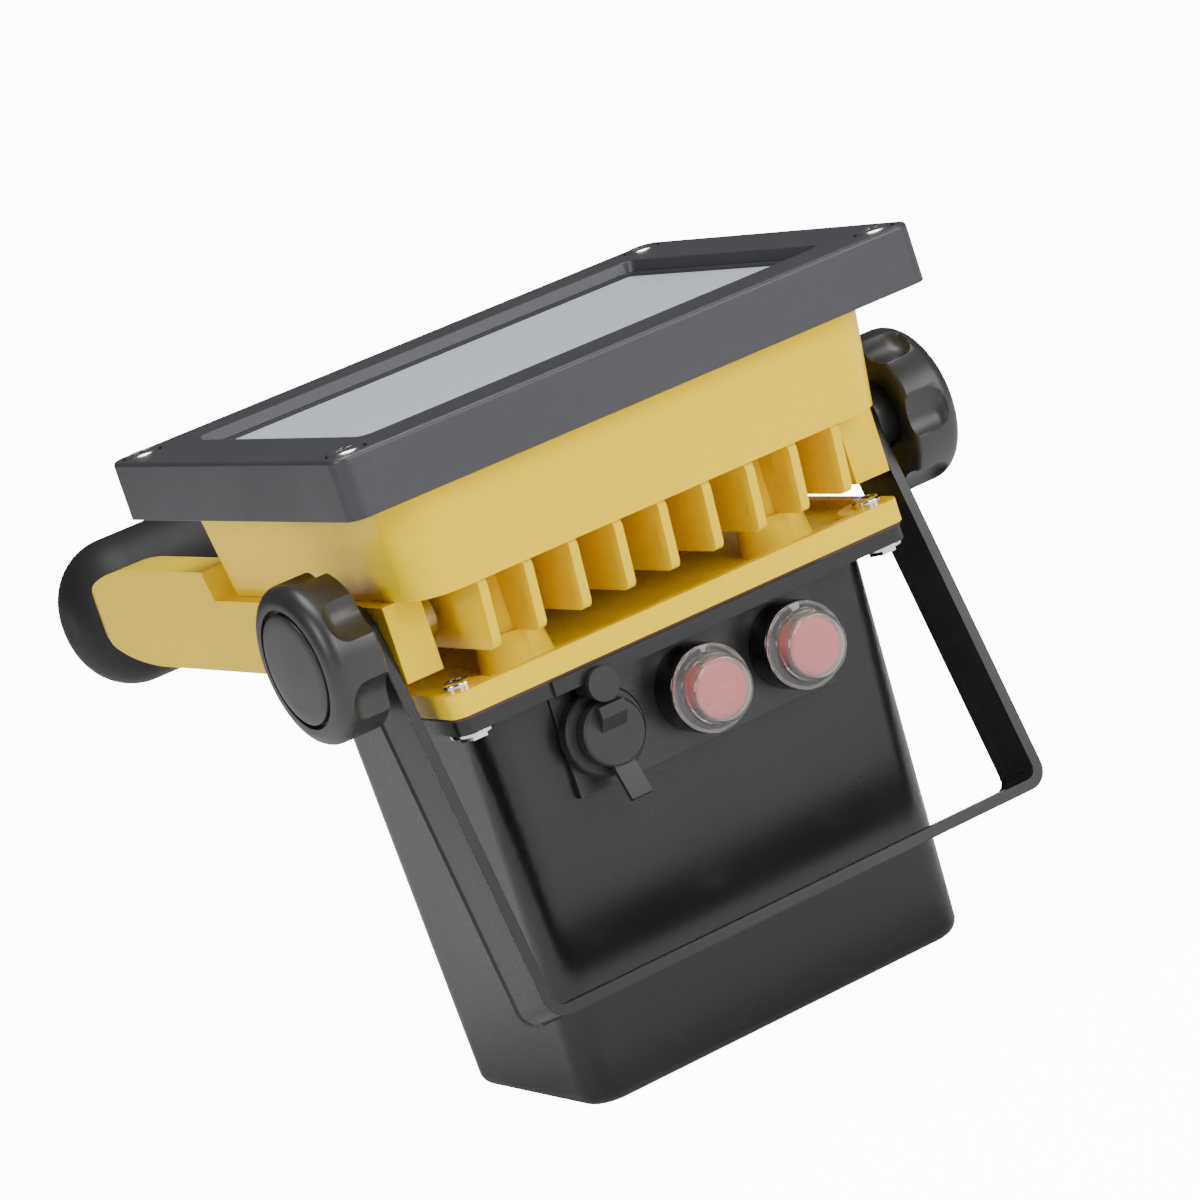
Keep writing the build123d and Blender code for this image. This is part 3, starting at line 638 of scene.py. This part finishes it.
class KnobPlaces:
    """Where one hand knob's planes and axis lie, from its node's box."""

    def __init__(self, side, sign):
        low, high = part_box(f"knob_{side}")
        self.side, self.sign = side, sign
        self.y, self.z = (low.y + high.y) / 2, (low.z + high.z) / 2
        self.radius = max(high.y - low.y, high.z - low.z) / 2
        self.inner, self.outer = sorted((abs(low.x), abs(high.x)))
        self.back = self.inner + KNOB_BACK

    def cylinder(self, name, vertices, radius, depth, reach, turned=(0.0, 0.0)):
        """A cylinder along the knob's axis, with its middle at a distance from the lamp's middle."""
        deselect()
        bpy.ops.mesh.primitive_cylinder_add(
            vertices=vertices, radius=radius, depth=depth, rotation=(0, math.pi / 2, 0),
            location=(self.sign * reach, self.y + turned[0], self.z + turned[1]))
        return settle(bpy.context.object, name)

    def pick_end(self, piece, outward_end):
        """In edit mode, selects the end face that looks away from the lamp, or the other one."""
        facing = self.sign if outward_end else -self.sign
        pick_faces(piece, lambda centre, normal: normal.x * facing > 0.9)


def cut_away(piece, cutter):
    modifier(piece, "BOOLEAN", object=cutter, operation="DIFFERENCE", solver="EXACT")
    bpy.data.objects.remove(cutter, do_unlink=True)


def knob_cutters(places, lobes, phase):
    """One joined piece of the round-ended cutters that leave the lobes between them."""
    cutters = []
    for i in range(lobes):
        turn = math.radians(phase) + math.tau * i / lobes
        cutter = places.cylinder(
            f"knob_cutter_{i}", 64, SCALLOP_RADIUS, SCALLOP_LENGTH,
            places.outer - SCALLOP_STOP - SCALLOP_LENGTH / 2,
            (SCALLOP_CIRCLE * math.cos(turn), SCALLOP_CIRCLE * math.sin(turn)))
        bpy.ops.object.mode_set(mode="EDIT")
        places.pick_end(cutter, True)
        bpy.ops.mesh.bevel(offset=5.0 * MM, segments=6, affect="EDGES")
        bpy.ops.object.mode_set(mode="OBJECT")
        cutters.append(cutter)
    deselect()
    for cutter in cutters:
        cutter.select_set(True)
    bpy.context.view_layer.objects.active = cutters[0]
    bpy.ops.object.join()
    return bpy.context.object


def build_knob_shell(places, lobes, phase, rounding):
    """The lobed shell, with a grooved face and a hollow back."""
    depth = places.outer - places.back
    knob = places.cylinder(f"hand_knob_{places.side}", 120, places.radius, depth,
                           (places.outer + places.back) / 2)
    bpy.ops.object.mode_set(mode="EDIT")
    places.pick_end(knob, True)
    bpy.ops.mesh.bevel(offset=KNOB_CORNER, segments=6, affect="EDGES")
    places.pick_end(knob, False)
    bpy.ops.mesh.bevel(offset=1.2 * MM, segments=3, affect="EDGES")
    bpy.ops.object.mode_set(mode="OBJECT")
    cut_away(knob, knob_cutters(places, lobes, phase))
    modifier(knob, "BEVEL", width=rounding, segments=3, limit_method="ANGLE",
             angle_limit=math.radians(30.0), use_clamp_overlap=True)
    cut_away(knob, places.cylinder("knob_groove", 96, GROOVE_RADIUS, GROOVE_DEPTH, places.outer))
    cut_away(knob, places.cylinder("knob_hollow", 96, HOLLOW_RADIUS, HOLLOW_DEPTH, places.back))
    outward(knob)
    smooth(knob, 34.0)
    return knob


def build_knob_disc(places):
    """The slightly domed centre disc inside the groove."""
    disc = places.cylinder(f"knob_centre_{places.side}", 96, DISC_RADIUS, DISC_DEPTH,
                           places.outer - 1.0 * MM)
    bpy.ops.object.mode_set(mode="EDIT")
    places.pick_end(disc, True)
    bpy.ops.mesh.inset(thickness=0.7 * MM)
    bpy.ops.transform.translate(value=(places.sign * 0.2 * MM, 0, 0))
    for _ in range(4):
        bpy.ops.mesh.inset(thickness=2.6 * MM)
        bpy.ops.transform.translate(value=(places.sign * 0.04 * MM, 0, 0))
    bpy.ops.object.mode_set(mode="OBJECT")
    modifier(disc, "BEVEL", width=0.3 * MM, segments=2, limit_method="ANGLE",
             angle_limit=math.radians(50.0))
    smooth(disc, 34.0)
    return disc


def build_knob_hub(places):
    """The round hub behind the shell, down to the bracket."""
    end = places.back + HUB_REACH
    hub = places.cylinder(f"knob_hub_{places.side}", 64, HUB_RADIUS, end - places.inner,
                          (places.inner + end) / 2)
    modifier(hub, "BEVEL", width=0.5 * MM, segments=3, limit_method="ANGLE",
             angle_limit=math.radians(50.0))
    smooth(hub, 34.0)
    return hub


class WORKLIGHT_OT_knobs(bpy.types.Operator):
    """Models the six-lobe hand knobs with their grooved faces and hollow backs"""
    bl_idname = "worklight.knobs"
    bl_label = "Hand knobs"

    def execute(self, context):
        look = context.scene.worklight_knob
        for side, sign, phase in (("left", -1, 30.0), ("right", 1, 0.0)):
            places = KnobPlaces(side, sign)
            body = f"knob_{side}_body"
            knob = build_knob_shell(places, look.lobes, phase, look.rounding)
            own(knob, body, "knob_plastic", knob_plastic(), f"knob_{side}")
            own(build_knob_disc(places), body, "knob_plastic", knob_plastic(), f"knob_cap_{side}")
            own(build_knob_hub(places), body, "knob_plastic", knob_plastic())
            dress(f"knob_insert_{side}", brass_metal())
        return {"FINISHED"}


class WORKLIGHT_OT_inside(bpy.types.Operator):
    """Finishes the pieces inside the lamp head and the battery box"""
    bl_idname = "worklight.inside"
    bl_label = "Inside parts"

    def execute(self, context):
        dress("led_board", finish("white_mask", (0.78, 0.79, 0.77), (500.0, 0.00002), (0.4, 0.5)))
        dress("led_chips", finish("phosphor", (0.86, 0.62, 0.06), (700.0, 0.00002), (0.2, 0.3)))
        dress("reflector", finish("reflector_white", (0.82, 0.83, 0.84), (500.0, 0.00001), (0.2, 0.3)))
        dress("wire_tube", finish("wire_sleeve", (0.05, 0.05, 0.052), (800.0, 0.00005), (0.5, 0.6)))
        dress("battery_cells", finish("cell_sleeve", (0.015, 0.07, 0.30), (500.0, 0.00001), (0.2, 0.3)))
        dress("charge_board", finish("green_mask", (0.01, 0.11, 0.03), (600.0, 0.00003), (0.3, 0.4)))
        for node in ("cell_tray", "cell_clamp", "board_parts"):
            dress(node, case_plastic())
        return {"FINISHED"}


def floor_paper():
    """Pale paper that looks white to the camera but lights the lamp only by what falls on it."""
    paper = bpy.data.materials.new("studio_floor")
    paper.use_nodes = True
    tree = paper.node_tree
    principled = tree.nodes["Principled BSDF"]
    principled.inputs["Base Color"].default_value = (0.90, 0.90, 0.90, 1)
    principled.inputs["Roughness"].default_value = 0.7
    glow = tree.nodes.new("ShaderNodeEmission")
    glow.inputs["Color"].default_value = (1.0, 1.0, 1.0, 1)
    seen = tree.nodes.new("ShaderNodeLightPath").outputs["Is Camera Ray"]
    tree.links.new(math_node(tree, "MULTIPLY", seen, FLOOR_GLOW), glow.inputs["Strength"])
    both = tree.nodes.new("ShaderNodeAddShader")
    tree.links.new(principled.outputs[0], both.inputs[0])
    tree.links.new(glow.outputs[0], both.inputs[1])
    tree.links.new(both.outputs[0], tree.nodes["Material Output"].inputs["Surface"])
    return paper


def studio_sky():
    """A dim even sky, which looks white to the camera."""
    world = bpy.data.worlds.new("studio")
    world.use_nodes = True
    sky = world.node_tree
    background = sky.nodes["Background"]
    background.inputs["Color"].default_value = (1.0, 1.0, 1.0, 1)
    seen = sky.nodes.new("ShaderNodeLightPath").outputs["Is Camera Ray"]
    level = sky.nodes.new("ShaderNodeMapRange")
    level.inputs["To Min"].default_value = SKY_LEVEL
    level.inputs["To Max"].default_value = SKY_SEEN
    sky.links.new(seen, level.inputs["Value"])
    sky.links.new(level.outputs["Result"], background.inputs["Strength"])
    return world


class WORKLIGHT_OT_stage(bpy.types.Operator):
    """Sets the pale floor, the soft lights and the camera"""
    bl_idname = "worklight.stage"
    bl_label = "Stage"

    def execute(self, context):
        deselect()
        bpy.ops.mesh.primitive_plane_add(size=14.0, location=(0, 0, -0.4 * MM))
        floor = settle(context.object, "floor")
        floor.data.materials.append(floor_paper())
        context.scene.world = studio_sky()
        for name, place, size, power in LIGHTS:
            bpy.ops.object.light_add(type="AREA", location=place)
            light = context.object
            light.name = light.data.name = name
            light.data.size = size
            light.data.energy = power
            aim = LIGHTS_AIM - Vector(place)
            light.rotation_euler = aim.to_track_quat("-Z", "Y").to_euler()

        bpy.ops.object.camera_add()
        camera = context.object
        camera.name = "camera"
        camera.data.lens = CAMERA_LENS
        camera.data.sensor_width = 36.0
        camera.data.clip_start, camera.data.clip_end = 0.05, 50.0
        camera.location = CAMERA_PLACE
        camera.rotation_euler = CAMERA_TURN
        context.scene.camera = camera
        return {"FINISHED"}


STEPS = (WORKLIGHT_OT_stage, WORKLIGHT_OT_lens_frame, WORKLIGHT_OT_heat_sink, WORKLIGHT_OT_battery_box,
         WORKLIGHT_OT_buttons, WORKLIGHT_OT_charge_cap, WORKLIGHT_OT_handle, WORKLIGHT_OT_bracket,
         WORKLIGHT_OT_knobs, WORKLIGHT_OT_inside)


class WORKLIGHT_PT_panel(bpy.types.Panel):
    """Lists the work light's pieces and their settings"""
    bl_idname = "WORKLIGHT_PT_panel"
    bl_label = "Work light"
    bl_space_type = "VIEW_3D"
    bl_region_type = "UI"
    bl_category = "Work light"

    def draw(self, context):
        scene = context.scene
        for settings in (scene.worklight_body, scene.worklight_controls, scene.worklight_knob):
            for key in settings.bl_rna.properties.keys():
                if key not in {"rna_type", "name"}:
                    self.layout.prop(settings, key)
        for step in STEPS:
            self.layout.operator(step.bl_idname)


CLASSES = (WorkLightBody, WorkLightControls, WorkLightKnob, *STEPS, WORKLIGHT_PT_panel)


def register():
    for item in CLASSES:
        bpy.utils.register_class(item)
    bpy.types.Scene.worklight_body = PointerProperty(type=WorkLightBody)
    bpy.types.Scene.worklight_controls = PointerProperty(type=WorkLightControls)
    bpy.types.Scene.worklight_knob = PointerProperty(type=WorkLightKnob)


def unregister():
    del bpy.types.Scene.worklight_knob
    del bpy.types.Scene.worklight_controls
    del bpy.types.Scene.worklight_body
    for item in reversed(CLASSES):
        bpy.utils.unregister_class(item)


def main():
    register()
    for step in STEPS:
        group, name = step.bl_idname.split(".")
        getattr(getattr(bpy.ops, group), name)()
    deselect()


if __name__ == "__main__":
    main()
